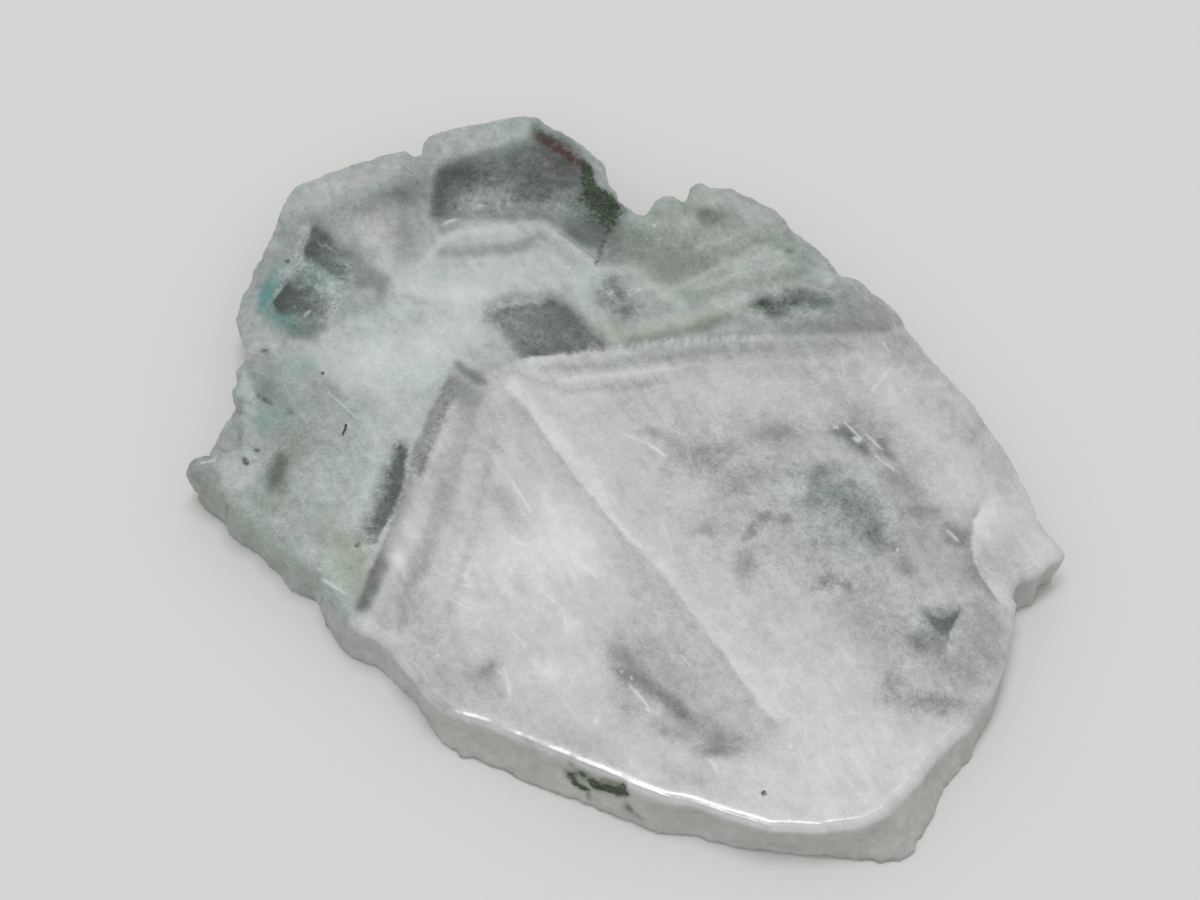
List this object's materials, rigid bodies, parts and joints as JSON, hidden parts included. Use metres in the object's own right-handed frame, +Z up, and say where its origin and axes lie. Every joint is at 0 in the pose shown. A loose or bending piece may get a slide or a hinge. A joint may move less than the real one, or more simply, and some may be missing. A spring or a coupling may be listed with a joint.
{
  "type": "ajoite quartz slice",
  "caption": "Flat sawn slab of milky, included quartz with straight crystal sides, a deep notch, a small flake ledge and a lumpy broken near edge; it lies flat.",
  "frame": {"origin": "centre of the slab's bounding box seen from above, on the lower sawn face that it lies on", "axes": "+Z up out of the upper sawn face, +X towards the pointed tip on the right, +Y towards the notched back edge"},
  "size_m": [0.066, 0.0622, 0.005],
  "materials": {
    "milky_quartz": "smooth ground upper face with a faint satin sheen, glossier rubbed rim, rough broken edges; milky and translucent with clearer smoky growth zones and green copper-silicate wisps"
  },
  "bodies": {
    "root": {"quartz_slice": "milky_quartz"}
  },
  "joints": []
}
